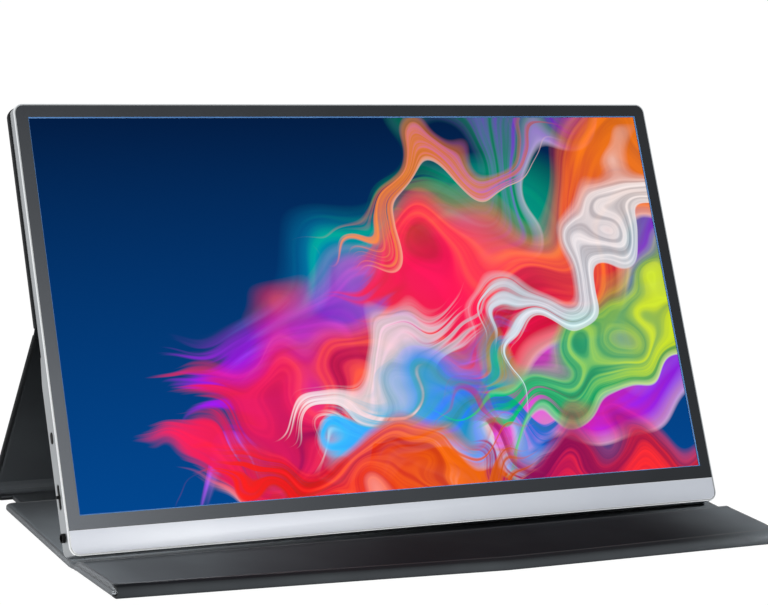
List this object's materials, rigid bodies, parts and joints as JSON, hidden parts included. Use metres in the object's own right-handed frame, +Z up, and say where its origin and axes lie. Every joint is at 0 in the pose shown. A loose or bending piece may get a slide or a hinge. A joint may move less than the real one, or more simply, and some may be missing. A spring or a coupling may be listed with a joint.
{
  "type": "portable monitor with cover",
  "caption": "Slim portable monitor held by magnets in a folding leather cover that props it up as a desk stand, with side controls and sockets.",
  "frame": {"origin": "centre of the base panel's underside, where the cover stands on the desk", "axes": "+X to the viewer's right along the creases, +Y to the back, +Z up"},
  "size_m": [0.361, 0.1708, 0.1988],
  "materials": {
    "cover_leather": "matte grained imitation leather",
    "cover_lining": "smooth matte imitation leather",
    "crease_leather": "matte imitation leather pressed in the creases",
    "stiffener_board": "pressed grey board",
    "magnet": "nickel plated magnet",
    "housing_aluminium": "bead blasted and anodised silver",
    "chin_aluminium": "fine blasted silver with bright edges",
    "bezel_plastic": "satin black",
    "black_tape": "matte",
    "display_glass": "satin coated display glass",
    "white_film": "satin",
    "clear_guide": "clear acrylic",
    "diode_strip": "satin",
    "tray_steel": "zinc plated sheet",
    "circuit_board": "green solder mask",
    "amber_film": "satin polyimide",
    "chip_plastic": "matte moulded",
    "tin_plate": "tinned sheet",
    "socket_steel": "nickel plated",
    "black_plastic": "satin moulded",
    "switch_plastic": "satin moulded",
    "grey_foam": "open foam",
    "screw_steel": "zinc plated"
  },
  "bodies": {
    "base": {"base_skin": "cover_leather", "base_stiffener": "stiffener_board", "base_lining": "cover_lining", "spine_skin": "cover_leather", "spine_stiffener": "stiffener_board", "spine_lining": "cover_lining", "spine_fold": "crease_leather", "front_fold": "crease_leather"},
    "front_flap": {"front_flap_skin": "cover_leather", "front_flap_stiffener": "stiffener_board", "front_flap_lining": "cover_lining", "nose_fold": "cover_leather"},
    "tuck_flap": {"tuck_flap_skin": "cover_leather", "tuck_flap_stiffener": "stiffener_board", "tuck_flap_lining": "cover_lining", "tuck_flap_magnets": "magnet"},
    "rear_crease": {"rear_fold": "crease_leather"},
    "lower_back": {"lower_back_skin": "cover_leather", "lower_back_stiffener": "stiffener_board", "lower_back_lining": "cover_lining"},
    "upper_back": {"upper_fold": "crease_leather", "upper_back_skin": "cover_leather", "upper_back_stiffener": "stiffener_board", "upper_back_lining": "cover_lining", "upper_back_magnets": "magnet"},
    "monitor": {"rear_housing": "housing_aluminium", "chin_bar": "chin_aluminium", "front_bezel": "bezel_plastic", "bezel_tape": "black_tape", "lcd_cell": "display_glass", "optical_films": "white_film", "light_guide": "clear_guide", "reflector": "white_film", "led_strip": "diode_strip", "panel_tray": "tray_steel", "panel_driver_board": "circuit_board", "display_flex": "amber_film", "main_board": "circuit_board", "main_board_parts": "chip_plastic", "emi_shield": "tin_plate", "usb_c_port_lower": "socket_steel", "usb_c_port_upper": "socket_steel", "mini_hdmi_port": "socket_steel", "control_board": "circuit_board", "control_flex": "amber_film", "audio_jack": "black_plastic", "power_switch": "switch_plastic", "jog_switch": "black_plastic", "speaker_left": "black_plastic", "speaker_right": "black_plastic", "support_foam": "grey_foam", "housing_magnets": "magnet", "board_screws": "screw_steel"},
    "power_key": {"power_button": "black_plastic"},
    "jog_slider": {"jog_carrier": "switch_plastic"},
    "jog_knob": {"jog_lever": "black_plastic"}
  },
  "joints": [
    {"name": "front_flap_fold", "type": "hinge", "parent": "base", "child": "front_flap", "pos_m": [0, -0.05385, 0.004], "axis": [-1, 0, 0], "range_deg": [0, 112]},
    {"name": "tuck_flap_fold", "type": "hinge", "parent": "front_flap", "child": "tuck_flap", "pos_m": [0, -0.1009, 0.00265], "axis": [-1, 0, 0], "range_deg": [0, 180]},
    {"name": "swing_back", "type": "hinge", "parent": "base", "child": "rear_crease", "pos_m": [0, 0.0657, 0.0013], "axis": [-1, 0, 0], "range_deg": [0, 75]},
    {"name": "stand_angle", "type": "hinge", "parent": "rear_crease", "child": "lower_back", "pos_m": [0, 0.0657, 0.0013], "axis": [-1, 0, 0], "range_deg": [0, 12]},
    {"name": "back_fold", "type": "hinge", "parent": "lower_back", "child": "upper_back", "pos_m": [0, 0.01246, 0.097], "axis": [-1, 0, 0], "range_deg": [-23.5, 0]},
    {"name": "monitor_release", "type": "slide", "parent": "upper_back", "child": "monitor", "axis": [0, -0.8721, 0.4894], "range_m": [0, 0.03]},
    {"name": "power_press", "type": "slide", "parent": "monitor", "child": "power_key", "axis": [1, 0, 0], "range_m": [0, 0.0003], "stiffness_N_per_m": 3000},
    {"name": "jog_press", "type": "slide", "parent": "monitor", "child": "jog_slider", "axis": [1, 0, 0], "range_m": [0, 0.00035], "stiffness_N_per_m": 3000},
    {"name": "jog_rock", "type": "hinge", "parent": "jog_slider", "child": "jog_knob", "pos_m": [-0.1763, -0.03035, 0.02929], "axis": [0, -0.8721, 0.4894], "range_deg": [-5, 5], "stiffness_Nm_per_rad": 0.03}
  ],
  "couplings": [
    {"joint": "back_fold", "follows": "stand_angle", "ratio": -1.955}
  ]
}
